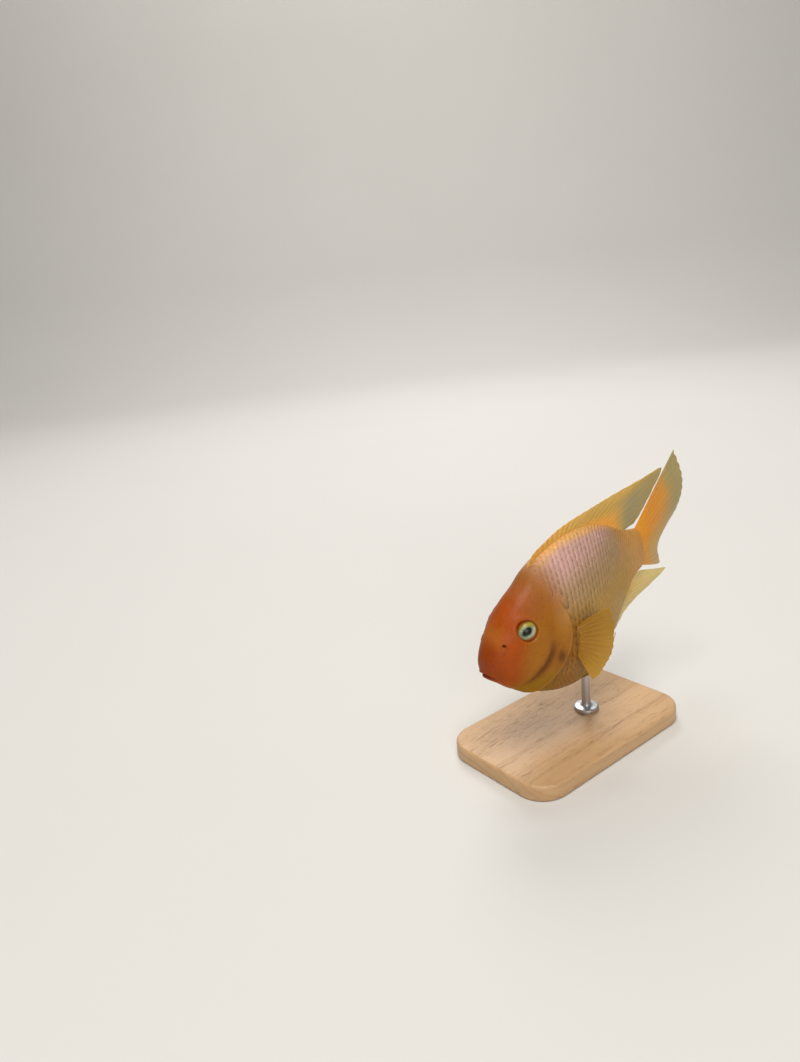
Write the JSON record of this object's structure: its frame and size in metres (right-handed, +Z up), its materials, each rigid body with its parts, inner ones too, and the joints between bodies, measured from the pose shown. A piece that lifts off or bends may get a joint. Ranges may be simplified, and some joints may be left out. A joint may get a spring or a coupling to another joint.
{
  "type": "blood parrot cichlid model",
  "caption": "Life-size still model of an orange aquarium fish with a deep round body, held nose down on a plain display stand.",
  "frame": {"origin": "middle of the underside of the stand's base", "axes": "+Z up, -X the way the fish heads, -Y the fish's left side, the side that the picture shows"},
  "size_m": [0.1696, 0.074, 0.1436],
  "materials": {
    "skin": "wet-looking orange fish skin with fine scales, redder on the head, lilac sheen on the back",
    "fin": "translucent yellow-orange fin membrane between darker rays",
    "eye": "pale green-yellow iris and dark pupil under a clear cornea",
    "stand_base": "oiled pale oak with a satin sheen, its end grain on the short sides",
    "stand_rod": "satin turned steel rod with a small foot"
  },
  "bodies": {
    "root": {"head": "skin", "gill_cover_left": "skin", "gill_cover_right": "skin", "torso": "skin", "tail_peduncle": "skin", "eye_left": "eye", "eye_right": "eye", "fin_dorsal": "fin", "fin_anal": "fin", "fin_caudal": "fin", "fin_pectoral_left": "fin", "fin_pectoral_right": "fin", "fin_pelvic_left": "fin", "fin_pelvic_right": "fin", "stand_base": "stand_base", "stand_rod": "stand_rod"}
  },
  "joints": []
}
